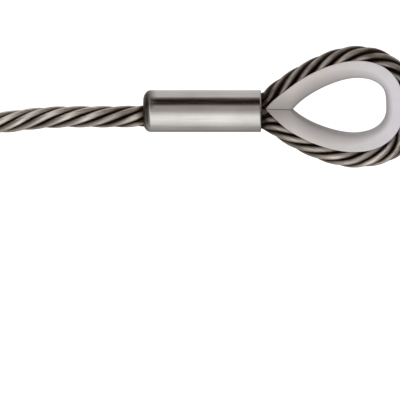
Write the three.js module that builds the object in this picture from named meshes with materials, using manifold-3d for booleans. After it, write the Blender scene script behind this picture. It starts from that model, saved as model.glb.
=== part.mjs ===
// Wire rope sling with a thimbled eye at each end, in millimetres, +Z up.
//
// The sling lies on the plane z = 0 with its middle over the origin and its near eye towards +X.
// The far end is the near end turned half a turn about Z. Each end has a frame of its own, the
// end frame: its origin is the centre of the ferrule's eye face, +X runs out along the ferrule's
// axis into the eye, and +Z is the upper side of the eye.

import * as THREE from 'three';
import { mergeVertices } from 'three/addons/utils/BufferGeometryUtils.js';
import Module from 'manifold-3d';

const wasm = await Module();
wasm.setup();

// ---- Driving dimensions ----

const ROPE_DIAMETER = 13; // a half-inch rope as new
const SLING_LENGTH = 700; // from bearing point to bearing point
const GAP = 0.3; // between pieces that touch on the real sling

const LAY_LENGTH = 84; // one turn of the outer strands, left-hand lay
const OUTER_STRANDS = 6;
const STRAND_RADIUS = 1.55; // the strands of the eye are round and slim, clear of each other
const CORE_RADIUS = 1.65;
const STRAND_CIRCLE = 4.2; // radius on which the outer strands lie in the eye
const PRESSED_CIRCLE = 3.5; // the same radius inside the pressed ferrule

const FERRULE_RADIUS = 12.6;
const FERRULE_LENGTH = 70.3;
const TAIL_ROUNDING = { length: 4.7, depth: 6 }; // a quarter ellipse at the ferrule's tail
const FERRULE_CHAMFER = 0.6;
const FERRULE_BORE_RADIUS = 5.75;
const LEG_OFFSET = 5.45; // each rope leg's distance from the ferrule's axis at its eye face
const DEAD_END_DEPTH = 55; // how far the short leg reaches into the ferrule
const DEAD_END_OFFSET = 5.75;
const LIVE_LEG_STRAIGHT = 45; // the long leg runs straight this far, then bends to the tail
const TAIL_OFFSET = 3; // the rope leaves the tail this far off the ferrule's axis

const EYE_TURN = THREE.MathUtils.degToRad(3.1); // the eye's axis against the ferrule's
const EYE_SHIFT = 0.4; // sideways distance between the two axes at the ferrule's face
const FACE_TO_BEARING = 75;

// The thimble, in the eye frame: origin at the bearing point, +X out of the eye.
const THIMBLE_HALF_THICKNESS = 8;
const THIMBLE_EDGE = 1.5; // rounding of its edges
const THIMBLE_WIDEST = -18.6; // where the bore is widest, measured from the bearing point
const BORE = { crown: 0, width: 16.8, tip: -56.3, shoulder: 10.6, nose: [7.9, 9.2], flat: 2.5 };
const RIM = { crown: 9.8, width: 27.2, tip: -72.4, shoulder: 18.5, nose: [12.3, 14.8], flat: 0 };
const CROWN_FULLNESS = 0.62; // 0.55 would make the crown an ellipse, and more makes it squarer
const SEAM_WIDTH = 0.4;
const GROOVE_RADIUS = 6.3;
const ROPE_CROWN = 12.3; // the rope's centre line passes the bearing point this far out

// The rope's centre line on each side of the eye, where the rope sits a little off centre.
const SHORT_LEG_SIDE = { width: 29.1, knee: [-63.5, 10.7], flank: [-52, 18.8], fullness: 0.6 };
const LONG_LEG_SIDE = { width: 31.1, knee: [-63.5, 11.1], flank: [-52, 20.6], fullness: 0.74 };
const WIDEST_HANDLE = 13;

// The loose rope of one half, from the ferrule's tail to the sling's middle.
const HALF_ROUTE = [
  [196, 10.7, 16.8],
  [186, 10.5, 16.9],
  [175, 10.4, 16.6],
  [162, 10.2, 15.7],
  [150, 9.6, 14.3],
  [138, 8.4, 12.7],
  [126, 6.7, 11.2],
  [113, 5.2, 9.7],
  [100, 4.2, 8.5],
  [86, 3.3, 7.5],
  [70, 2.5, 6.9],
  [52, 1.7, 6.7],
  [34, 1.1, 6.6],
  [16, 0.5, 6.6],
];
const ROUTE_MIDDLE = [0, 0, 6.6];
const FERRULE_SIDE_SHIFT = 14; // the ferrule's axis lies this far to +Y of the middle
const LEAD_START = 100; // the middle stretch of rope ends at this X, and the lead begins

const ROPE_SIDES = 12;
const ROPE_STEPS_PER_MM = 1 / 15;
const STRAND_SIDES = 6;
const STRAND_STEPS = 40;

// ---- Materials ----

const wire = new THREE.MeshStandardMaterial({ color: 0x8c8278, roughness: 0.42, metalness: 0.9 });
const core = new THREE.MeshStandardMaterial({ color: 0x5f574f, roughness: 0.6, metalness: 0.8 });
const pressed = new THREE.MeshStandardMaterial({ color: 0xb8b4ae, roughness: 0.3, metalness: 1 });
const zinc = new THREE.MeshStandardMaterial({ color: 0xc8c4ca, roughness: 0.55, metalness: 0.7 });

// ---- Solids ----

function toSolid(geometry) {
  const bare = geometry.clone();
  bare.deleteAttribute('normal');
  bare.deleteAttribute('uv');
  const merged = mergeVertices(bare, 1e-4);
  const index = merged.index.array;
  const corners = [];
  for (let i = 0; i < index.length; i += 3) {
    const [a, b, c] = [index[i], index[i + 1], index[i + 2]];
    if (a !== b && b !== c && c !== a) corners.push(a, b, c);
  }
  const vertProperties = new Float32Array(merged.attributes.position.array);
  const mesh = new wasm.Mesh({ numProp: 3, vertProperties, triVerts: new Uint32Array(corners) });
  return new wasm.Manifold(mesh);
}

function toGeometry(solid) {
  const mesh = solid.getMesh();
  const geometry = new THREE.BufferGeometry();
  geometry.setAttribute('position', new THREE.BufferAttribute(mesh.vertProperties, 3));
  geometry.setIndex(new THREE.BufferAttribute(mesh.triVerts, 1));
  geometry.computeVertexNormals();
  return geometry;
}

function polygon(radius, sides) {
  const corners = [];
  for (let i = 0; i < sides; i += 1) {
    const angle = (2 * Math.PI * i) / sides;
    corners.push(new THREE.Vector2(radius * Math.cos(angle), radius * Math.sin(angle)));
  }
  return new THREE.Shape(corners);
}

function tube(path, radius, sides, steps) {
  return new THREE.ExtrudeGeometry(polygon(radius, sides), { steps, extrudePath: path });
}

// ---- The rope's centre line through one end, in the end frame ----

function eyePoint(x, y) {
  const point = new THREE.Vector3(x + FACE_TO_BEARING, y, 0);
  point.applyAxisAngle(new THREE.Vector3(0, 0, 1), EYE_TURN);
  point.y += EYE_SHIFT;
  return point;
}

function inFerrule(x, y) {
  return new THREE.Vector3(x, y, 0);
}

// One side of the eye, from the ferrule's face to the crown.
function eyeSide(sign, { width, knee, flank, fullness }) {
  const at = (x, y) => eyePoint(x, sign * y);
  const slope = (flank[1] - knee[1]) / (flank[0] - knee[0]);
  const flareHandle = 2.7;
  const flare = new THREE.CubicBezierCurve3(
    inFerrule(0, sign * LEG_OFFSET),
    inFerrule(4.5, sign * LEG_OFFSET),
    at(knee[0] - flareHandle, knee[1] - flareHandle * slope),
    at(...knee),
  );
  const rise = new THREE.CubicBezierCurve3(
    at(...knee),
    at(...flank),
    at(THIMBLE_WIDEST - WIDEST_HANDLE, width),
    at(THIMBLE_WIDEST, width),
  );
  const bend = new THREE.CubicBezierCurve3(
    at(THIMBLE_WIDEST, width),
    at(THIMBLE_WIDEST + fullness * (ROPE_CROWN - THIMBLE_WIDEST), width),
    at(ROPE_CROWN, fullness * width),
    at(ROPE_CROWN, 0),
  );
  return [flare, rise, bend];
}

function reversed(curve) {
  return new THREE.CubicBezierCurve3(curve.v3, curve.v2, curve.v1, curve.v0);
}

function joined(curves) {
  const path = new THREE.CurvePath();
  path.curves.push(...curves);
  return path;
}

const shortLeg = new THREE.LineCurve3(
  inFerrule(-DEAD_END_DEPTH, DEAD_END_OFFSET),
  inFerrule(0, LEG_OFFSET),
);

function longLeg(end) {
  const middle = -(LIVE_LEG_STRAIGHT + FERRULE_LENGTH) / 2;
  return [
    new THREE.LineCurve3(inFerrule(0, -LEG_OFFSET), inFerrule(-LIVE_LEG_STRAIGHT, -LEG_OFFSET)),
    new THREE.CubicBezierCurve3(
      inFerrule(-LIVE_LEG_STRAIGHT, -LEG_OFFSET),
      inFerrule(middle, -LEG_OFFSET),
      inFerrule(middle, -TAIL_OFFSET),
      inFerrule(end, -TAIL_OFFSET),
    ),
  ];
}

const shortSide = eyeSide(1, SHORT_LEG_SIDE);
const longSide = eyeSide(-1, LONG_LEG_SIDE);
const eyeLoop = joined([...shortSide, ...longSide.reverse().map(reversed)]);
const endRope = joined([shortLeg, ...eyeLoop.curves, ...longLeg(-FERRULE_LENGTH + GAP)]);

// One outer strand: a left-hand helix around the rope's centre line.
class Strand extends THREE.Curve {
  constructor(phase) {
    super();
    this.phase = phase;
    this.length = endRope.getLength();
    this.eyeStart = shortLeg.getLength();
    this.eyeEnd = this.eyeStart + eyeLoop.getLength();
  }

  circle(distance) {
    const step = THREE.MathUtils.smoothstep;
    const opened = step(distance, this.eyeStart + 2, this.eyeStart + 12);
    const closed = step(distance, this.eyeEnd - 12, this.eyeEnd - 2);
    return PRESSED_CIRCLE + (STRAND_CIRCLE - PRESSED_CIRCLE) * (opened - closed);
  }

  getPoint(t, target = new THREE.Vector3()) {
    const distance = t * this.length;
    const along = endRope.getTangentAt(t);
    const side = new THREE.Vector3(-along.y, along.x, 0).normalize();
    const angle = this.phase - (2 * Math.PI * distance) / LAY_LENGTH;
    const circle = this.circle(distance);
    target.copy(endRope.getPointAt(t)).addScaledVector(side, circle * Math.cos(angle));
    target.z += circle * Math.sin(angle);
    return target;
  }
}

// ---- Pieces of one end ----

function strand(index) {
  const phase = (2 * Math.PI * index) / OUTER_STRANDS;
  return tube(new Strand(phase), STRAND_RADIUS, STRAND_SIDES, STRAND_STEPS);
}

function eyeCore() {
  return tube(endRope, CORE_RADIUS, STRAND_SIDES, STRAND_STEPS);
}

function ferruleBlank() {
  const { length, depth } = TAIL_ROUNDING;
  const profile = [[0, -FERRULE_LENGTH]];
  const roundingSteps = 4;
  for (let step = 0; step <= roundingSteps; step += 1) {
    const angle = (step / roundingSteps) * (Math.PI / 2);
    profile.push([
      FERRULE_RADIUS - depth * (1 - Math.sin(angle)),
      -FERRULE_LENGTH + length * (1 - Math.cos(angle)),
    ]);
  }
  profile.push([FERRULE_RADIUS, -FERRULE_CHAMFER], [FERRULE_RADIUS - FERRULE_CHAMFER, 0], [0, 0]);
  const segments = 32;
  const blank = new THREE.LatheGeometry(profile.map((p) => new THREE.Vector2(...p)), segments);
  return blank.rotateZ(-Math.PI / 2);
}

function ferrule() {
  const sides = 16;
  const steps = 12;
  const clearance = 1;
  const past = 2;
  const shortBore = new THREE.LineCurve3(
    inFerrule(-DEAD_END_DEPTH - clearance, DEAD_END_OFFSET),
    inFerrule(past, LEG_OFFSET),
  );
  const [straight, bent] = longLeg(-FERRULE_LENGTH);
  const longBore = joined([
    new THREE.LineCurve3(inFerrule(past, -LEG_OFFSET), straight.v2),
    bent,
    new THREE.LineCurve3(bent.v3, inFerrule(-FERRULE_LENGTH - past, -TAIL_OFFSET)),
  ]);
  const solid = toSolid(ferruleBlank())
    .subtract(toSolid(tube(shortBore, FERRULE_BORE_RADIUS, sides, 1)))
    .subtract(toSolid(tube(longBore, FERRULE_BORE_RADIUS, sides, steps)));
  return toGeometry(solid);
}

// A teardrop round the eye: a rounded crown, and a flank from each side to the tip.
function teardrop(Path, { crown, width, tip, shoulder, nose, flat }) {
  const widest = THIMBLE_WIDEST;
  const along = widest + CROWN_FULLNESS * (crown - widest);
  const across = flat + CROWN_FULLNESS * (width - flat);
  const outline = new Path();
  outline.moveTo(tip, 0);
  outline.bezierCurveTo(tip + nose[0], -nose[1], widest - shoulder, -width, widest, -width);
  outline.bezierCurveTo(along, -width, crown, -across, crown, -flat);
  if (flat > 0) outline.lineTo(crown, flat);
  outline.bezierCurveTo(crown, across, along, width, widest, width);
  outline.bezierCurveTo(widest - shoulder, width, tip + nose[0], nose[1], tip, 0);
  return outline;
}

function thimble() {
  const shape = teardrop(THREE.Shape, RIM);
  shape.holes.push(teardrop(THREE.Path, BORE));
  const plate = new THREE.ExtrudeGeometry(shape, {
    depth: 2 * (THIMBLE_HALF_THICKNESS - THIMBLE_EDGE),
    curveSegments: 8,
    bevelThickness: THIMBLE_EDGE,
    bevelSize: THIMBLE_EDGE,
    bevelOffset: -THIMBLE_EDGE,
    bevelSegments: 2,
  });
  plate.translate(0, 0, THIMBLE_EDGE - THIMBLE_HALF_THICKNESS);
  const seamLength = BORE.tip - RIM.tip + 6;
  const seam = new THREE.BoxGeometry(seamLength, SEAM_WIDTH, 4 * THIMBLE_HALF_THICKNESS);
  seam.translate((BORE.tip + RIM.tip) / 2, 0, 0);
  for (const cutter of [plate, seam]) {
    cutter.translate(FACE_TO_BEARING, 0, 0);
    cutter.rotateZ(EYE_TURN);
    cutter.translate(0, EYE_SHIFT, 0);
  }
  const grooveSteps = 32;
  const solid = toSolid(plate)
    .subtract(toSolid(tube(eyeLoop, GROOVE_RADIUS, ROPE_SIDES, grooveSteps)))
    .subtract(toSolid(seam));
  return toGeometry(solid);
}

// ---- One end, resting on its ferrule's eye edge and its thimble's crown ----

const rimReach = FACE_TO_BEARING + RIM.crown - THIMBLE_EDGE;
const tilt = Math.atan2(FERRULE_RADIUS - THIMBLE_HALF_THICKNESS, rimReach + FERRULE_CHAMFER);
const endHeight = FERRULE_RADIUS * Math.cos(tilt) - FERRULE_CHAMFER * Math.sin(tilt);
const faceX = SLING_LENGTH / 2 - eyePoint(0, 0).x * Math.cos(tilt);

function placeEnd(group) {
  group.position.set(faceX, FERRULE_SIDE_SHIFT, endHeight);
  group.rotation.y = tilt;
}

function endPieces(prefix) {
  const end = new THREE.Group();
  const add = (name, geometry, material) => {
    const piece = new THREE.Mesh(geometry, material);
    piece.name = `${prefix}_${name}`;
    end.add(piece);
  };
  add('thimble', thimble(), zinc);
  add('ferrule', ferrule(), pressed);
  for (let index = 0; index < OUTER_STRANDS; index += 1) {
    add(`eye_strand_${index + 1}`, strand(index), wire);
  }
  add('eye_core', eyeCore(), core);
  placeEnd(end);
  return end;
}

// ---- The loose rope between the two ferrules ----

function tailPoint() {
  const frame = new THREE.Group();
  placeEnd(frame);
  frame.updateMatrixWorld();
  return inFerrule(-FERRULE_LENGTH, -TAIL_OFFSET).applyMatrix4(frame.matrixWorld);
}

function looseRoute() {
  const half = [tailPoint(), ...HALF_ROUTE.map((p) => new THREE.Vector3(...p))];
  const opposite = half.map((p) => new THREE.Vector3(-p.x, -p.y, p.z));
  const points = [...opposite, new THREE.Vector3(...ROUTE_MIDDLE), ...half.reverse()];
  const route = new THREE.CatmullRomCurve3(points, false, 'centripetal');
  route.arcLengthDivisions = 800;
  return route;
}

const route = looseRoute();

function fractionAtX(x) {
  let [low, high] = [0, 1];
  while (high - low > 1e-6) {
    const middle = (low + high) / 2;
    if (route.getPointAt(middle).x < x) low = middle;
    else high = middle;
  }
  return low;
}

class Stretch extends THREE.Curve {
  constructor(fromX, toX) {
    super();
    this.from = fractionAtX(fromX);
    this.to = fractionAtX(toX);
  }

  getPoint(t, target = new THREE.Vector3()) {
    return target.copy(route.getPointAt(THREE.MathUtils.lerp(this.from, this.to, t)));
  }
}

function looseRope(name, fromX, toX) {
  const steps = Math.round((toX - fromX) * ROPE_STEPS_PER_MM);
  const geometry = tube(new Stretch(fromX, toX), ROPE_DIAMETER / 2, ROPE_SIDES, steps);
  const piece = new THREE.Mesh(geometry, wire);
  piece.name = name;
  return piece;
}

// ---- The sling ----

const sling = new THREE.Group();
const leadEnd = tailPoint().x - GAP;
const middleEnd = LEAD_START - GAP;
sling.add(looseRope('rope_middle', -middleEnd, middleEnd));
sling.add(looseRope('near_lead_rope', LEAD_START, leadEnd));
sling.add(looseRope('far_lead_rope', -leadEnd, -LEAD_START));
sling.add(endPieces('near'));
const farEnd = new THREE.Group();
farEnd.rotation.z = Math.PI;
farEnd.add(endPieces('far'));
sling.add(farEnd);

export default sling;
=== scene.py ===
"""Looks of the wire rope sling, in metres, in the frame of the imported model.

The near end is towards +X. Every piece is made for the near end, and the far end is the same piece
turned half a turn about Z.
"""

import math

import bpy
import numpy as np
from mathutils import Matrix, Vector


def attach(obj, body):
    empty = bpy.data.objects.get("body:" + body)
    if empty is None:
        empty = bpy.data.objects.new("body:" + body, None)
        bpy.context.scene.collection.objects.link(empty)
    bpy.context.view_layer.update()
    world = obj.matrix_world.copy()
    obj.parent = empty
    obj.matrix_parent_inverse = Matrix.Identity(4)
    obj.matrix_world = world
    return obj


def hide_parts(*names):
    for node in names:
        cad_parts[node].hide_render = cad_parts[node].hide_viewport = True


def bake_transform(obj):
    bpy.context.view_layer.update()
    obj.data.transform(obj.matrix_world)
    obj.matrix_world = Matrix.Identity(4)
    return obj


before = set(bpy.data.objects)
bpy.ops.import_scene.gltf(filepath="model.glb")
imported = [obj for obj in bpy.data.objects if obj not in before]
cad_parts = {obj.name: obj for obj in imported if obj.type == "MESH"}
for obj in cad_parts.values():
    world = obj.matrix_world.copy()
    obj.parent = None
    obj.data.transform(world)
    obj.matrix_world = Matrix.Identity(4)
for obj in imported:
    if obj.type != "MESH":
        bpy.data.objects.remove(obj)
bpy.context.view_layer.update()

MM = 0.001

# ---- Driving dimensions, as in the CAD model ----

ROPE_DIAMETER = 13 * MM
SLING_LENGTH = 700 * MM
OUTER_STRANDS = 6
PRESSED_CIRCLE = 3.5 * MM
LOOSE_LAY = 84 * MM

FERRULE_RADIUS = 12.6 * MM
FERRULE_LENGTH = 70.3 * MM
FERRULE_CHAMFER = 0.6 * MM
TAIL_ROUNDING = (4.7 * MM, 6 * MM)  # along the axis and across it
LEG_OFFSET = 5.45 * MM
TAIL_OFFSET = 3 * MM
FERRULE_SIDE_SHIFT = 14 * MM

EYE_TURN = math.radians(3.1)
EYE_SHIFT = 0.4 * MM
FACE_TO_BEARING = 75 * MM

THIMBLE_HALF_THICKNESS = 8 * MM
THIMBLE_EDGE = 1.5 * MM
THIMBLE_WIDEST = -18.6  # this and the outlines below are in millimetres in the eye frame
BORE = {"crown": 0, "width": 16.8, "tip": -56.3, "shoulder": 10.6, "nose": (7.9, 9.2), "flat": 2.5}
RIM = {"crown": 9.8, "width": 27.2, "tip": -72.4, "shoulder": 18.5, "nose": (12.3, 14.8), "flat": 0}
CROWN_FULLNESS = 0.62
ROPE_CROWN = 12.3
SHORT_LEG_SIDE = {"width": 29.1, "knee": (-63.5, 10.7), "flank": (-52, 18.8), "fullness": 0.6}
LONG_LEG_SIDE = {"width": 31.1, "knee": (-63.5, 11.1), "flank": (-52, 20.6), "fullness": 0.74}
WIDEST_HANDLE = 13
FLARE_HANDLE = 2.7

# The loose rope's route from the ferrule's tail to the middle.
HALF_ROUTE = [
    (0.196, 0.0107, 0.0168),
    (0.186, 0.0105, 0.0169),
    (0.175, 0.0104, 0.0166),
    (0.162, 0.0102, 0.0157),
    (0.150, 0.0096, 0.0143),
    (0.138, 0.0084, 0.0127),
    (0.126, 0.0067, 0.0112),
    (0.113, 0.0052, 0.0097),
    (0.100, 0.0042, 0.0085),
    (0.086, 0.0033, 0.0075),
    (0.070, 0.0025, 0.0069),
    (0.052, 0.0017, 0.0067),
    (0.034, 0.0011, 0.0066),
    (0.016, 0.0005, 0.0066),
]
ROUTE_MIDDLE = (0.0, 0.0, 0.0066)
CORD_SPLIT_X = 0.122  # the loose rope of one half is two pieces, which meet here

# ---- The strands: full size and touching, where the CAD model's are slim and clear of each other ----

STRAND_RADIUS = 2.12 * MM
STRAND_CIRCLE = ROPE_DIAMETER / 2 - STRAND_RADIUS
CORE_RADIUS = 2.4 * MM
PRESSED_STRAND_RADIUS = 1.93 * MM
EYE_LAY = 78 * MM  # the CAD model has one lay length all along

# ---- The end frame: origin at the centre of the ferrule's eye face, +X into the eye ----

RIM_REACH = FACE_TO_BEARING + RIM["crown"] * MM - THIMBLE_EDGE
TILT = math.atan2(FERRULE_RADIUS - THIMBLE_HALF_THICKNESS, RIM_REACH + FERRULE_CHAMFER)
END_HEIGHT = FERRULE_RADIUS * math.cos(TILT) - FERRULE_CHAMFER * math.sin(TILT)
FACE_X = SLING_LENGTH / 2 - FACE_TO_BEARING * math.cos(EYE_TURN) * math.cos(TILT)
END = Matrix.Translation((FACE_X, FERRULE_SIDE_SHIFT, END_HEIGHT)) @ Matrix.Rotation(TILT, 4, "Y")
EYE = Matrix.Translation((0, EYE_SHIFT, 0)) @ Matrix.Rotation(EYE_TURN, 4, "Z")
EYE = EYE @ Matrix.Translation((FACE_TO_BEARING, 0, 0))
HALF_TURN = Matrix.Rotation(math.pi, 4, "Z")


def moved(points, matrix):
    m = np.array(matrix)
    return np.asarray(points, float) @ m[:3, :3].T + m[:3, 3]


def unit(vectors):
    return vectors / np.linalg.norm(vectors, axis=-1, keepdims=True)


def smooth_step(x, start, end):
    t = np.clip((x - start) / (end - start), 0, 1)
    return t * t * (3 - 2 * t)


# ---- Curves ----


def bezier(a, b, c, d, count=200):
    t = np.linspace(0, 1, count)[:, None]
    a, b, c, d = (np.array(p, float) for p in (a, b, c, d))
    return (1 - t) ** 3 * a + 3 * t * (1 - t) ** 2 * b + 3 * t**2 * (1 - t) * c + t**3 * d


def through(points, count=24):
    """A centripetal Catmull-Rom curve through the points."""
    points = np.array(points, float)
    ends = (2 * points[0] - points[1], 2 * points[-1] - points[-2])
    points = np.vstack([ends[0], points, ends[1]])
    t = np.linspace(0, 1, count, endpoint=False)[:, None]
    out = []
    for i in range(1, len(points) - 2):
        p0, p1, p2, p3 = points[i - 1 : i + 3]
        d0, d1, d2 = (math.sqrt(np.linalg.norm(q - p)) for p, q in ((p0, p1), (p1, p2), (p2, p3)))
        start = ((p1 - p0) / d0 - (p2 - p0) / (d0 + d1) + (p2 - p1) / d1) * d1
        end = ((p2 - p1) / d1 - (p3 - p1) / (d1 + d2) + (p3 - p2) / d2) * d1
        bend = 3 * (p2 - p1) - 2 * start - end
        twist = 2 * (p1 - p2) + start + end
        out.append(p1 + start * t + bend * t**2 + twist * t**3)
    return np.vstack([*out, points[-2][None]])


class Line:
    """A centre line: evenly spaced points, each with its directions along, sideways and up."""

    def __init__(self, points, steps, up):
        points = np.asarray(points, float)
        gaps = np.linalg.norm(np.diff(points, axis=0), axis=1)
        points = points[np.concatenate([[True], gaps > 1e-9])]
        distance = np.concatenate([[0], np.cumsum(gaps[gaps > 1e-9])])
        self.s = np.linspace(0, distance[-1], steps + 1)
        self.at = np.stack([np.interp(self.s, distance, points[:, k]) for k in range(3)], axis=1)
        self.along = unit(np.gradient(self.at, self.s, axis=0))
        self.side = unit(np.cross(up, self.along))
        self.up = np.cross(self.along, self.side)


def length_of(points):
    return float(np.linalg.norm(np.diff(points, axis=0), axis=1).sum())


def eye_side(sign, shape):
    """The rope's centre line on one side of the eye in the end frame, from its leg to the crown."""

    def at(x, y):
        return moved([(x * MM, sign * y * MM, 0)], EYE)[0]

    knee, flank, width, fullness = (shape[name] for name in ("knee", "flank", "width", "fullness"))
    slope = (flank[1] - knee[1]) / (flank[0] - knee[0])
    turn_in = at(knee[0] - FLARE_HANDLE, knee[1] - FLARE_HANDLE * slope)
    widest = at(THIMBLE_WIDEST, width)
    past_widest = at(THIMBLE_WIDEST + fullness * (ROPE_CROWN - THIMBLE_WIDEST), width)
    leg = np.array((0, sign * LEG_OFFSET, 0))
    into_ferrule = np.array((9 * MM, 0, 0))
    flare = bezier(leg, leg + (4.5 * MM, 0, 0), turn_in, at(*knee))
    rise = bezier(at(*knee), at(*flank), at(THIMBLE_WIDEST - WIDEST_HANDLE, width), widest)
    bend = bezier(widest, past_widest, at(ROPE_CROWN, fullness * width), at(ROPE_CROWN, 0))
    return np.vstack([[leg - into_ferrule], flare, rise, bend])


def steps_along(points, step=1.5 * MM):
    return round(length_of(points) / step)


eye_points = np.vstack([eye_side(1, SHORT_LEG_SIDE), eye_side(-1, LONG_LEG_SIDE)[::-1]])
eye_normal = np.array(END.to_3x3() @ Vector((0, 0, 1)))
eye_line = Line(moved(eye_points, END), steps_along(eye_points), eye_normal)

INTO_TAIL = 5 * MM
tail = moved([(-FERRULE_LENGTH, -TAIL_OFFSET, 0)], END)[0]
inside_tail = moved([(INTO_TAIL - FERRULE_LENGTH, -TAIL_OFFSET, 0)], END)[0]
half_points = [ROUTE_MIDDLE, *HALF_ROUTE[::-1], tail]
opposite = [(-x, -y, z) for x, y, z in half_points[:0:-1]]
whole = through([*opposite, *half_points])
whole = np.vstack([inside_tail * (-1, -1, 1), whole, inside_tail])
loose = Line(whole, 2 * steps_along(whole, 3 * MM), (0, 0, 1))
loose.s -= loose.s[-1] / 2

# ---- Meshes ----


class Build:
    """Collects rings of points into one mesh, with a value or two kept at each point."""

    def __init__(self):
        self.points = []
        self.faces = []
        self.values = {}
        self.slots = []
        self.flat = []
        self.count = 0

    def tube(self, rings, slot=0, **values):
        rows, around = rings.shape[:2]
        base = self.count
        index = base + np.arange(rows * around).reshape(rows, around)
        nxt = np.roll(index, -1, axis=1)
        quads = np.stack([index[:-1], nxt[:-1], nxt[1:], index[1:]], axis=-1).reshape(-1, 4)
        self.faces += [*quads.tolist(), index[0][::-1].tolist(), index[-1].tolist()]
        self.slots += [slot] * (len(quads) + 2)
        self.flat += [False] * len(quads) + [True, True]
        self.points.append(rings.reshape(-1, 3))
        for name, value in values.items():
            self.values.setdefault(name, []).append(np.broadcast_to(value, (rows, around)).ravel())
        self.count += rows * around

    def object(self, name, matrix, materials):
        mesh = bpy.data.meshes.new(name)
        points = moved(np.vstack(self.points), matrix)
        mesh.from_pydata(points.tolist(), [], self.faces)
        for value_name, parts in self.values.items():
            layer = mesh.attributes.new(value_name, "FLOAT", "POINT")
            layer.data.foreach_set("value", np.concatenate(parts).astype(np.float32))
        for material in materials:
            mesh.materials.append(material)
        mesh.polygons.foreach_set("material_index", self.slots)
        mesh.polygons.foreach_set("use_smooth", [not f for f in self.flat])
        mesh.set_sharp_from_angle(angle=math.radians(50))
        mesh.update()
        piece = bpy.data.objects.new(name, mesh)
        bpy.context.scene.collection.objects.link(piece)
        return piece


CORE_SIDES = 12
# The core lies this deep, so it takes the full dark colour: partly old oil, partly painted shade of the
# rope's inside.
CORE_DEPTH = 3.0  # kept on the core's points, in millimetres below the rope's surface
WIRES = 12
POINTS_PER_WIRE = 4
WIRE_LAY = 30 * MM
WIRE_RELIEF = 0.2  # share of the full depth between two round wires that is left after closing


def wire_profile():
    """A strand's outline as radius factors: round wires side by side on a circle."""
    half = math.pi / WIRES
    wire = math.sin(half) / (1 + math.sin(half))
    off = np.linspace(-half, half, POINTS_PER_WIRE, endpoint=False)
    full = (1 - wire) * np.cos(off) + np.sqrt(np.maximum(wire**2 - ((1 - wire) * np.sin(off)) ** 2, 0))
    return np.tile(1 - WIRE_RELIEF * (1 - full), WIRES)


PROFILE = wire_profile()
AROUND = np.arange(len(PROFILE)) * 2 * math.pi / len(PROFILE)


def tones(seed):
    """One tone for each wire of a strand, from -1 to 1."""
    values = np.random.default_rng(seed).uniform(-1, 1, WIRES)
    return np.repeat(values, POINTS_PER_WIRE)


def strand_rings(line, angle, circle, radius):
    """One strand's rings of points and how deep each lies below the rope's outer surface."""
    out = line.side * np.cos(angle)[:, None] + line.up * np.sin(angle)[:, None]
    centre = line.at + out * circle[:, None]
    along = unit(np.gradient(centre, line.s, axis=0))
    out = unit(out - along * (out * along).sum(1, keepdims=True))
    across = np.cross(along, out)
    turn = AROUND[None] + (2 * math.pi * line.s / WIRE_LAY)[:, None]
    reach = PROFILE[None] * radius[:, None]
    rings = centre[:, None] + out[:, None] * (reach * np.cos(turn))[..., None]
    rings = rings + across[:, None] * (reach * np.sin(turn))[..., None]
    from_axis = rings - line.at[:, None]
    from_axis = from_axis - line.along[:, None] * (from_axis * line.along[:, None]).sum(-1, keepdims=True)
    depth = (circle + radius)[:, None] - np.linalg.norm(from_axis, axis=-1)
    return rings, depth / MM


def round_rings(line, radius, sides):
    """Plain round rings about a centre line."""
    turn = (np.arange(sides) * 2 * math.pi / sides)[None, :, None]
    spokes = line.side[:, None] * np.cos(turn) + line.up[:, None] * np.sin(turn)
    return line.at[:, None] + radius * spokes


# ---- Materials ----


def material(name, metallic, roughness):
    made = bpy.data.materials.new(name)
    made.use_nodes = True
    nodes = made.node_tree.nodes
    shader = nodes["Principled BSDF"]
    shader.inputs["Metallic"].default_value = metallic
    shader.inputs["Roughness"].default_value = roughness
    return made, made.node_tree, shader


def node(tree, kind, links=None, **settings):
    made = tree.nodes.new(kind)
    for key, value in settings.items():
        setattr(made, key, value)
    for socket, source in (links or {}).items():
        if isinstance(source, bpy.types.NodeSocket):
            tree.links.new(source, made.inputs[socket])
        else:
            made.inputs[socket].default_value = source
    return made


def math_node(tree, operation, a, b=0.0, c=0.0):
    return node(tree, "ShaderNodeMath", {0: a, 1: b, 2: c}, operation=operation).outputs[0]


def mix_colour(tree, factor, a, b, blend="MIX"):
    made = node(tree, "ShaderNodeMix", data_type="RGBA", blend_type=blend)
    for index, value in ((0, factor), (6, a), (7, b)):
        if isinstance(value, bpy.types.NodeSocket):
            tree.links.new(value, made.inputs[index])
        else:
            made.inputs[index].default_value = value
    return made.outputs[2]


def noise(tree, coordinates, scale, detail=3.0, roughness=0.55):
    links = {"Vector": coordinates, "Scale": scale, "Detail": detail, "Roughness": roughness}
    return node(tree, "ShaderNodeTexNoise", links).outputs["Fac"]


def remap(tree, value, low, high, to_low, to_high):
    links = {0: value, 1: low, 2: high, 3: to_low, 4: to_high}
    return node(tree, "ShaderNodeMapRange", links).outputs[0]


def object_coordinates(tree, stretch=(1, 1, 1)):
    coordinates = node(tree, "ShaderNodeTexCoord").outputs["Object"]
    return node(tree, "ShaderNodeMapping", {"Vector": coordinates, "Scale": stretch}).outputs[0]


def grey(tree, value):
    return node(tree, "ShaderNodeCombineColor", {0: value, 1: value, 2: value}).outputs[0]


def attribute(tree, name):
    return node(tree, "ShaderNodeAttribute", attribute_name=name).outputs["Fac"]


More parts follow.
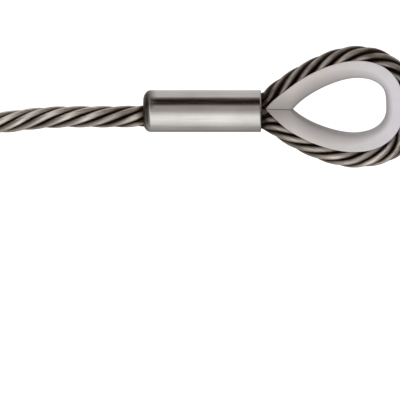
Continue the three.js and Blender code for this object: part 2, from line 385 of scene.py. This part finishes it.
def wire_material(name, clean, oil_and_shade_colour, roughness):
    """Drawn steel wire: clean on the crowns, darker down between wires and strands, partly old oil and
    partly painted shade.
    """
    made, tree, shader = material(name, 1.0, roughness)
    tone = math_node(tree, "MULTIPLY", attribute(tree, "tone"), 0.06)
    place = object_coordinates(tree)
    blotch = noise(tree, place, 60)
    grain = noise(tree, place, 900, detail=2)
    # The depth darkens the wire: partly old oil, partly painted shade in the crevices, plus the painted
    # shade added along the rope.
    oil_and_shade = math_node(tree, "ADD", attribute(tree, "depth"), remap(tree, blotch, 0.3, 0.7, -0.3, 0.3))
    darkening = remap(tree, oil_and_shade, 0.2, 1.4, 0.0, 1.0)
    shade = math_node(tree, "ADD", remap(tree, grain, 0, 1, 0.88, 1.12), tone)
    steel = mix_colour(tree, 1.0, clean, grey(tree, shade), "MULTIPLY")
    tree.links.new(mix_colour(tree, darkening, steel, oil_and_shade_colour), shader.inputs["Base Color"])
    rough = remap(tree, blotch, 0, 1, roughness - 0.06, roughness + 0.06)
    rough = math_node(tree, "ADD", rough, math_node(tree, "MULTIPLY", darkening, 0.2))
    tree.links.new(rough, shader.inputs["Roughness"])
    bump = node(tree, "ShaderNodeBump", {"Height": grain, "Strength": 0.2, "Distance": 0.05 * MM})
    tree.links.new(bump.outputs[0], shader.inputs["Normal"])
    return made


def ferrule_material():
    """Pressed steel, polished along its length: fine straight streaks, a few soft patches, and painted
    shade round the rope, at the tail and on the chamfer.
    """
    base_roughness = 0.14
    made, tree, shader = material("pressed_steel", 1.0, base_roughness)
    streaks = noise(tree, object_coordinates(tree, (14, 900, 900)), 1.0, detail=4)
    fine = noise(tree, object_coordinates(tree, (40, 2600, 2600)), 1.0, detail=2)
    patches = noise(tree, object_coordinates(tree), 45, detail=2)
    depth = attribute(tree, "depth")
    bright = (0.46, 0.446, 0.43, 1)
    dull = (0.37, 0.354, 0.34, 1)
    # The colour of the painted shade.
    darkening = (0.028, 0.02, 0.016, 1)
    tint = remap(tree, math_node(tree, "ADD", streaks, patches), 0.7, 1.3, 0.0, 1.0)
    steel = mix_colour(tree, tint, dull, bright)
    tree.links.new(mix_colour(tree, depth, steel, darkening), shader.inputs["Base Color"])
    rough = remap(tree, streaks, 0.3, 0.7, base_roughness - 0.04, base_roughness + 0.06)
    rough = math_node(tree, "ADD", rough, math_node(tree, "MULTIPLY", depth, 0.3))
    tree.links.new(rough, shader.inputs["Roughness"])
    relief = math_node(tree, "ADD", streaks, math_node(tree, "MULTIPLY", fine, 0.5))
    bump = node(tree, "ShaderNodeBump", {"Height": relief, "Strength": 0.2, "Distance": 0.02 * MM})
    tree.links.new(bump.outputs[0], shader.inputs["Normal"])
    return made


def thimble_material():
    """Dull galvanised steel: faint mottling, a fine grain, painted shade towards the bore, and a painted
    light tint along the eye.
    """
    base_roughness = 0.58
    made, tree, shader = material("dull_zinc", 0.1, base_roughness)
    place = object_coordinates(tree)
    mottle = noise(tree, place, 120, detail=4)
    grain = noise(tree, place, 1400, detail=3)
    cloud = noise(tree, place, 22, detail=1)
    reach = node(tree, "ShaderNodeSeparateXYZ", {0: place}).outputs[0]
    drift = remap(tree, cloud, 0, 1, -0.012, 0.012)
    reach = math_node(tree, "ADD", math_node(tree, "ABSOLUTE", reach), drift)
    # A painted light tint: warm towards the tip, cooler and lighter towards the crown.
    tip_painted_tint = (0.85, 0.81, 0.785, 1)
    crown_painted_tint = (0.96, 0.945, 1.0, 1)
    zinc = mix_colour(tree, remap(tree, reach, 0.31, 0.356, 0, 1), tip_painted_tint, crown_painted_tint)
    zinc = mix_colour(tree, remap(tree, mottle, 0.35, 0.75, 0, 0.2), zinc, (0.7, 0.68, 0.68, 1))
    # Painted shade on the rounding into the bore: darker near the bore edge, wider and stronger towards
    # the tip.
    inward = math_node(tree, "ADD", attribute(tree, "from_bore"), remap(tree, mottle, 0, 1, -0.8, 0.8))
    share = math_node(tree, "DIVIDE", inward, remap(tree, reach, 0.305, 0.35, 9.0, 3.4))
    painted_shade = remap(tree, share, 0, 1, 1, 0)
    painted_shade = math_node(tree, "MULTIPLY", painted_shade, remap(tree, reach, 0.3, 0.35, 0.8, 0.48))
    zinc = mix_colour(tree, painted_shade, zinc, (0.25, 0.23, 0.225, 1))
    tree.links.new(zinc, shader.inputs["Base Color"])
    rough = remap(tree, mottle, 0.2, 0.8, base_roughness - 0.06, base_roughness + 0.1)
    tree.links.new(rough, shader.inputs["Roughness"])
    relief = math_node(tree, "ADD", grain, mottle)
    bump = node(tree, "ShaderNodeBump", {"Height": relief, "Strength": 0.2, "Distance": 0.06 * MM})
    tree.links.new(bump.outputs[0], shader.inputs["Normal"])
    return made


# The second colour is the dark of old oil and painted shade.
WIRE = wire_material("steel_wire", (0.475, 0.43, 0.385, 1), (0.042, 0.028, 0.021, 1), 0.3)
CORE = wire_material("core_wire", (0.10, 0.085, 0.07, 1), (0.03, 0.022, 0.018, 1), 0.55)
PRESSED = ferrule_material()
ZINC = thimble_material()

# ---- The camera ----

CAMERA_LEAN = math.radians(8.5)
CAMERA_DISTANCE = 1.6
FRAME_WIDTH = 0.240  # what the picture spans at the ferrule's axis
VIEW_CENTRE = (-36.4 * MM, -53.7 * MM, 0)


def make_camera():
    data = bpy.data.cameras.new("camera")
    data.sensor_width = 36
    data.lens = data.sensor_width * CAMERA_DISTANCE / FRAME_WIDTH
    camera = bpy.data.objects.new("camera", data)
    bpy.context.scene.collection.objects.link(camera)
    pose = END @ Matrix.Translation(VIEW_CENTRE) @ Matrix.Rotation(-CAMERA_LEAN, 4, "X")
    camera.matrix_world = pose @ Matrix.Translation((0, 0, CAMERA_DISTANCE))
    bpy.context.scene.camera = camera


make_camera()

# ---- The loose rope: four pieces ----

MIDDLE_PHASE = math.radians(30)
PHASE_SHIFT = math.radians(22)
TAIL_PAINTED_SHADE = 0.3  # this and the next are painted shade, added to the depth, which is what darkens the wire
EXIT_PAINTED_SHADE = 0.9


def loose_strands():
    """The rings and depths of each strand along the whole loose rope."""
    drift = PHASE_SHIFT * smooth_step(loose.s, 0, 110 * MM)
    angle = MIDDLE_PHASE - 2 * math.pi * loose.s / LOOSE_LAY + drift
    circle, radius = (np.full(len(loose.s), size) for size in (STRAND_CIRCLE, STRAND_RADIUS))
    from_tail = loose.s[tail_ring] - abs(loose.s)
    # Painted shade near the ferrule: over the last 80 mm before the tail, strongest where the rope goes
    # in.
    painted_shade = TAIL_PAINTED_SHADE * (1 - smooth_step(from_tail, 0, 80 * MM))
    painted_shade = painted_shade + EXIT_PAINTED_SHADE * (1 - smooth_step(from_tail, 0.5 * MM, 5 * MM))
    out = []
    for turn in np.arange(OUTER_STRANDS) * 2 * math.pi / OUTER_STRANDS:
        rings, depth = strand_rings(loose, angle + turn, circle, radius)
        out.append((rings, depth + painted_shade[:, None]))
    return out


last_ring = len(loose.s) - 1
tail_ring = int(np.argmin(np.linalg.norm(loose.at - tail, axis=1)))
strands = loose_strands()
loose_core = round_rings(loose, CORE_RADIUS, CORE_SIDES)


def ring_at(x):
    return int(np.argmin(abs(loose.at[:, 0] - x)))


def loose_piece(name, matrix, first, shown_last):
    shown = slice(first, shown_last + 1)
    build = Build()
    for number, (rings, depth) in enumerate(strands):
        build.tube(rings[shown], depth=depth[shown], tone=tones(40 + number)[None])
    build.tube(loose_core[shown], slot=1, depth=CORE_DEPTH, tone=0.0)
    piece = build.object(name, matrix, [WIRE, CORE])
    return piece


def loose_half(end, matrix):
    split = ring_at(CORD_SPLIT_X)
    inner = loose_piece(f"{end}_middle_rope", matrix, ring_at(0), split)
    outer = loose_piece(f"{end}_rope", matrix, split, last_ring)
    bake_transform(inner)
    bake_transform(outer)
    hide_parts(f"{end}_lead_rope")
    return inner


middles = [loose_half("near", Matrix.Identity(4)), loose_half("far", HALF_TURN)]
for middle in middles:
    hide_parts("rope_middle")

# ---- The eyes: six strands and a core round each thimble ----

EYE_PHASE = math.radians(27)
EYE_PAINTED_SHADE = 0.25  # these four are painted shade, added to the depth, which is what darkens the wire
SHORT_SIDE_PAINTED_SHADE = 0.4
LEG_PAINTED_SHADE = 0.35
FACE_PAINTED_SHADE = 1.0


def eye_strands():
    """The rings and depths of each strand round the eye, pressed together at both legs."""
    place = eye_line.s
    from_face = np.minimum(place, place[-1] - place) - 9 * MM
    opened = smooth_step(from_face, -1 * MM, 11 * MM)
    circle = PRESSED_CIRCLE + (STRAND_CIRCLE - PRESSED_CIRCLE) * opened
    radius = PRESSED_STRAND_RADIUS + (STRAND_RADIUS - PRESSED_STRAND_RADIUS) * opened
    short_side = 1 - smooth_step(place / place[-1], 0.35, 0.7)
    # Painted shade: all round the thimble's groove, more on the short leg's side and on the legs, and the
    # ferrule's painted shadow just off its eye face.
    painted_shade = EYE_PAINTED_SHADE + SHORT_SIDE_PAINTED_SHADE * short_side
    painted_shade = painted_shade + LEG_PAINTED_SHADE * (1 - smooth_step(from_face, 0, 45 * MM))
    painted_shade = painted_shade + FACE_PAINTED_SHADE * (1 - smooth_step(from_face, 1 * MM, 5 * MM))
    out = []
    for strand in range(OUTER_STRANDS):
        angle = EYE_PHASE + 2 * math.pi * (strand / OUTER_STRANDS - place / EYE_LAY)
        rings, depth = strand_rings(eye_line, angle, circle, radius)
        out.append((rings, depth + painted_shade[:, None]))
    return out


def eye_rope(end, matrix):
    for number, (rings, depth) in enumerate(round_eye):
        build = Build()
        build.tube(rings, depth=depth, tone=tones(60 + number)[None])
        piece = build.object(f"{end}_strand_{number + 1}", matrix, [WIRE])
        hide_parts(f"{end}_eye_strand_{number + 1}")
        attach(piece, f"{end}_eye")
    build = Build()
    build.tube(round_rings(eye_line, CORE_RADIUS, CORE_SIDES), depth=CORE_DEPTH, tone=0.0)
    piece = build.object(f"{end}_core", matrix, [CORE])
    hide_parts(f"{end}_eye_core")
    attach(piece, f"{end}_eye")


# ---- The ferrule ----

BEAD_REACH = 4.4 * MM  # how far the metal squeezed out between the legs stands off the eye face
CHAMFER_PAINTED_SHADE = 0.3


def ferrule_profile():
    """(x, radius) from the eye face's centre round to the tail's centre, in the end frame."""
    length, depth = TAIL_ROUNDING
    points = [(0, r * MM) for r in np.linspace(0.5, FERRULE_RADIUS / MM - 0.7, 14)]
    for a in np.linspace(0, math.pi / 2, 5):
        x = -FERRULE_CHAMFER * (1 - math.cos(a))
        points.append((x, FERRULE_RADIUS - FERRULE_CHAMFER * (1 - math.sin(a))))
    plain_end = (FERRULE_LENGTH - length) / MM - 0.5
    points += [(-x * MM, FERRULE_RADIUS) for x in np.linspace(1.2, plain_end, 40)]
    for a in np.linspace(0, math.pi / 2, 16):
        x = -FERRULE_LENGTH + length * (1 - math.sin(a))
        points.append((x, FERRULE_RADIUS - depth * (1 - math.cos(a))))
    points += [(-FERRULE_LENGTH, r * MM) for r in (5.5, 4, 2, 0.5)]
    return points


def ferrule_painted_shade(x, y, z):
    """0 where the steel keeps its own colour, 1 where it takes the painted shade: round the rope, at the
    tail, on the chamfer.
    """
    far_away = 20 * MM
    from_leg = [np.hypot(y - side * LEG_OFFSET, z) for side in (1, -1)]
    near_rope = np.where(x > -0.1 * MM, np.minimum(*from_leg), far_away)
    near_tail = np.where(x < -FERRULE_LENGTH + 5 * MM, np.hypot(y + TAIL_OFFSET, z), far_away)
    close = np.minimum(near_rope - 5.4 * MM, near_tail - 6.5 * MM)
    depth = 1 - smooth_step(close, 0, 1.2 * MM)
    from_tail = x + FERRULE_LENGTH
    shaded_side = smooth_step(y, 0, 6 * MM)  # the painted shade at the tail reaches further along this side
    unshaded_from = (0.2 + 2.3 * shaded_side) * MM
    fade = (4.3 + 0.9 * shaded_side) * MM
    depth = np.maximum(depth, 1 - np.clip((from_tail - unshaded_from) / fade, 0, 1))
    return np.maximum(depth, CHAMFER_PAINTED_SHADE * (1 - smooth_step(-x, 0.3 * MM, 1.1 * MM)))


def make_ferrule(end, matrix):
    segments = 160
    turn = -np.arange(segments) * 2 * math.pi / segments
    profile = np.array(ferrule_profile())
    x = np.broadcast_to(profile[:, :1], (len(profile), segments))
    y = profile[:, 1:] * np.cos(turn)
    z = profile[:, 1:] * np.sin(turn)
    bead = 1 - smooth_step(abs(y), 1.3 * MM, 2.7 * MM)
    bead = bead * (1 - smooth_step(abs(z), 3 * MM, 5.5 * MM)) * (x == 0)
    x = x + BEAD_REACH * bead
    build = Build()
    build.tube(np.stack([x, y, z], axis=-1), depth=ferrule_painted_shade(x, y, z))
    piece = build.object(f"{end}_pressed_ferrule", matrix @ END, [PRESSED])
    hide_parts(f"{end}_ferrule")
    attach(piece, f"{end}_eye")


# ---- The thimble ----

TIP_LEAN = 1.4 * MM  # only here: in the CAD model the tip is on the eye's axis
GROOVE_RADIUS = 6.6 * MM  # a little wider than in the CAD model
SEAM_WIDTH = 0.35 * MM


def teardrop(crown, width, tip, shoulder, nose, flat):
    """Half an outline, with y >= 0 in the eye frame, from the tip to the crown."""
    fullest = THIMBLE_WIDEST + CROWN_FULLNESS * (crown - THIMBLE_WIDEST)
    across = flat + CROWN_FULLNESS * (width - flat)
    widest = (THIMBLE_WIDEST, width)
    flank = bezier((tip, 0), (tip + nose[0], nose[1]), (THIMBLE_WIDEST - shoulder, width), widest, 49)
    bend = bezier(widest, (fullest, width), (crown, across), (crown, flat), 41)
    return np.vstack([flank[:-1], bend[:-1], [(crown, 0)]]) * MM


def leaning(points):
    """Draws an outline's tip a little aside, with the seam that ends there."""
    lean = TIP_LEAN * smooth_step(-points[:, 0], -(BORE["tip"] - 2) * MM, -RIM["tip"] * MM)
    return points + np.stack([np.zeros(len(points)), lean], axis=1)


def plate_section():
    """The thimble's section before its groove is cut: (share of the way from bore to rim, offset, z)."""
    bore_round = 3.2 * MM
    bore_drop = 2.8 * MM
    rim_round = 0.8 * MM
    steps = 8
    dish = 0.2 * MM  # how far the flat face sinks from the rim to the bore's rounding
    h = THIMBLE_HALF_THICKNESS
    section = []
    for a in np.linspace(0, math.pi / 2, steps):
        section.append((0, bore_round * (1 - math.cos(a)), h - dish - bore_drop * (1 - math.sin(a))))
    for share in (0.45, 0.6, 0.75, 0.9):
        section.append((share, 0, h - dish * (1 - smooth_step(share, 0.3, 0.9))))
    for a in np.linspace(math.pi / 2, 0, steps):
        section.append((1, -rim_round * (1 - math.cos(a)), h - rim_round * (1 - math.sin(a))))
    return section + [(share, off, -z) for share, off, z in section[::-1]]


def plate_build():
    bore, rim = teardrop(**BORE), teardrop(**RIM)
    bore = np.vstack([bore, bore[-2:0:-1] * (1, -1)])
    rim = leaning(np.vstack([rim, rim[-2:0:-1] * (1, -1)]))
    reach = unit(rim - bore)
    share, off, z = np.array(plate_section()).T
    towards_rim = (rim - bore)[:, None] * share[None, :, None]
    flat = bore[:, None] + towards_rim + reach[:, None] * off[None, :, None]
    rings = np.concatenate([flat, np.broadcast_to(z[None, :, None], (*flat.shape[:2], 1))], axis=-1)
    rows, around = rings.shape[:2]
    index = np.arange(rows * around).reshape(rows, around)
    nxt, row = np.roll(index, -1, axis=1), np.roll(index, -1, axis=0)
    both = np.roll(nxt, -1, axis=0)
    build = Build()
    build.points = [rings.reshape(-1, 3)]
    build.faces = np.stack([index, nxt, both, row], axis=-1).reshape(-1, 4)[:, ::-1].tolist()
    build.slots = [0] * len(build.faces)
    build.flat = [False] * len(build.faces)
    build.count = rows * around
    return build


def cut(piece, cutter):
    modifier = piece.modifiers.new("cut", "BOOLEAN")
    modifier.operation = "DIFFERENCE"
    modifier.solver = "EXACT"
    modifier.object = cutter
    modifier.use_self = True
    graph = bpy.context.evaluated_depsgraph_get()
    mesh = bpy.data.meshes.new_from_object(piece.evaluated_get(graph))
    piece.modifiers.clear()
    piece.data = mesh
    bpy.data.objects.remove(cutter)


def groove_cutter():
    line = Line(eye_points, steps_along(eye_points, 1.2 * MM), (0, 0, 1))
    build = Build()
    build.tube(round_rings(line, GROOVE_RADIUS, 64))
    return build.object("groove", END, [])


def seam_cutter():
    height = 12 * MM
    outer = (RIM["tip"] - 6) * MM
    inner = (BORE["tip"] + 2) * MM
    aside = TIP_LEAN * 1.3  # the cutter reaches past the tip, so it leans further
    half = SEAM_WIDTH / 2
    corners = [(outer, aside - half), (inner, -half), (inner, half), (outer, aside + half)]
    rings = [[(x, y, z) for x, y in corners] for z in (-height, height)]
    build = Build()
    build.tube(np.array(rings))
    return build.object("seam", END @ EYE, [])


def thimble_mesh():
    piece = plate_build().object("plate", END @ EYE, [ZINC])
    cut(piece, groove_cutter())
    cut(piece, seam_cutter())
    mesh = piece.data
    mesh.set_sharp_from_angle(angle=math.radians(32))
    bpy.data.objects.remove(piece)
    points = np.array([tuple(vertex.co) for vertex in mesh.vertices])
    flat = moved(points, (END @ EYE).inverted())[:, :2]
    half = teardrop(**BORE)
    edge = through(np.vstack([half, half[-2::-1] * (1, -1)]), 3)
    from_bore = np.min(np.linalg.norm(flat[:, None] - edge[None], axis=2), axis=1)
    beside_seam = abs(flat[:, 1]) * 0.6 + 1 * MM
    from_bore = np.where(flat[:, 0] < BORE["tip"] * MM, np.minimum(from_bore, beside_seam), from_bore)
    mesh.attributes.new("from_bore", "FLOAT", "POINT").data.foreach_set("value", from_bore / MM)
    return mesh


def make_thimble(end, matrix, mesh):
    own = mesh.copy()
    own.name = f"{end}_teardrop_thimble"
    own.transform(matrix)
    piece = bpy.data.objects.new(own.name, own)
    bpy.context.scene.collection.objects.link(piece)
    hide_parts(f"{end}_thimble")
    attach(piece, f"{end}_eye")


thimble = thimble_mesh()
round_eye = eye_strands()
for end, matrix in (("near", Matrix.Identity(4)), ("far", HALF_TURN)):
    eye_rope(end, matrix)
    make_ferrule(end, matrix)
    make_thimble(end, matrix, thimble)

# ---- The floor and the light ----


def make_floor():
    """A pale floor: white to the camera; to the metal it glows with a painted shadow under the sling and
    painted light beside it.
    """
    half = 40.0
    corners = [(-half, -half, 0), (half, -half, 0), (half, half, 0), (-half, half, 0)]
    mesh = bpy.data.meshes.new("floor")
    mesh.from_pydata(corners, [], [(0, 1, 2, 3)])
    made, tree, shader = material("pale_floor", 0.0, 0.9)
    shader.inputs["Base Color"].default_value = (0.5, 0.49, 0.485, 1)
    shader.inputs["Specular IOR Level"].default_value = 0.0
    shader.inputs["Emission Color"].default_value = (1, 1, 1, 1)
    across = node(tree, "ShaderNodeSeparateXYZ", {0: object_coordinates(tree)}).outputs[1]
    positive_side = remap(tree, across, 0.0, 0.03, 0.1, 0.7)
    negative_side = remap(tree, across, -0.07, -0.01, 0.4, 0.1)
    reflected = math_node(tree, "MAXIMUM", positive_side, negative_side)
    seen = node(tree, "ShaderNodeLightPath").outputs["Is Camera Ray"]
    glow = math_node(tree, "MAXIMUM", reflected, seen)
    tree.links.new(glow, shader.inputs["Emission Strength"])
    mesh.materials.append(made)
    floor = bpy.data.objects.new("floor", mesh)
    bpy.context.scene.collection.objects.link(floor)


# Brightness of the studio round the X axis: degrees from straight up towards +Y, and strength.
STUDIO = [
    (-180, 0.40),
    (-127, 0.30),
    (-115, 0.36),
    (-105, 0.45),
    (-94, 0.55),
    (-86, 0.67),
    (-71, 0.92),
    (-57, 1.15),
    (-42, 1.29),
    (-24, 1.30),
    (-13, 1.07),
    (-2, 0.74),
    (8.5, 0.52),
    (17, 0.48),
    (31, 0.46),
    (36, 0.34),
    (42.5, 0.08),
    (50, 0.018),
    (60, 0.012),
    (69, 0.02),
    (79, 0.14),
    (86, 0.4),
    (93, 0.6),
    (100, 0.7),
    (118, 0.74),
    (135, 0.6),
    (150, 0.5),
    (180, 0.4),
]
STUDIO_STRENGTH = 1.42
SWIRL = math.radians(350)  # how far the bands turn per unit of X, past the straight middle
STRAIGHT_MIDDLE = 0.11
ENDS_KEPT = 0.25  # what is left of the light towards both ends of the sling
DARK_WARMTH = 0.5  # how far green and blue fall behind red where the studio is dark
DARK_BELOW = 0.2  # the strength over which that warmth fades


def make_light():
    world = bpy.data.worlds.new("studio")
    bpy.context.scene.world = world
    world.use_nodes = True
    tree = world.node_tree
    direction = node(tree, "ShaderNodeTexCoord").outputs["Generated"]
    parts = node(tree, "ShaderNodeSeparateXYZ", {0: direction}).outputs
    around = math_node(tree, "ARCTAN2", parts[1], parts[2])
    near_middle = math_node(tree, "MINIMUM", parts[0], STRAIGHT_MIDDLE)
    near_middle = math_node(tree, "MAXIMUM", near_middle, -STRAIGHT_MIDDLE)
    past_middle = math_node(tree, "SUBTRACT", parts[0], near_middle)
    around = math_node(tree, "MULTIPLY_ADD", past_middle, SWIRL, around)
    around = math_node(tree, "WRAP", around, math.pi, -math.pi)
    ramp = node(tree, "ShaderNodeValToRGB", {0: remap(tree, around, -math.pi, math.pi, 0, 1)})
    stops = ramp.color_ramp.elements
    top = max(strength for _, strength in STUDIO)
    for number, (degrees, strength) in enumerate(STUDIO):
        place = (degrees + 180) / 360
        stop = stops[number] if number < 2 else stops.new(place)
        stop.position = place
        cooler = 1 - DARK_WARMTH * math.exp(-strength / DARK_BELOW)
        stop.color = (strength / top, strength / top * cooler, strength / top * cooler * 0.99, 1)
    endward = math_node(tree, "ABSOLUTE", parts[0])
    links = {0: endward, 1: 0.35, 2: 0.8, 3: 1.0, 4: ENDS_KEPT}
    kept = node(tree, "ShaderNodeMapRange", links, interpolation_type="SMOOTHSTEP").outputs[0]
    colour = mix_colour(tree, 1.0, ramp.outputs[0], grey(tree, kept), "MULTIPLY")
    seen = node(tree, "ShaderNodeLightPath").outputs["Is Camera Ray"]
    white = 1 / (top * STUDIO_STRENGTH)
    colour = mix_colour(tree, seen, colour, (white, white, white, 1))
    background = tree.nodes["Background"]
    background.inputs["Strength"].default_value = top * STUDIO_STRENGTH
    tree.links.new(colour, background.inputs["Color"])
    bpy.context.scene.view_settings.view_transform = "Standard"


make_floor()
make_light()
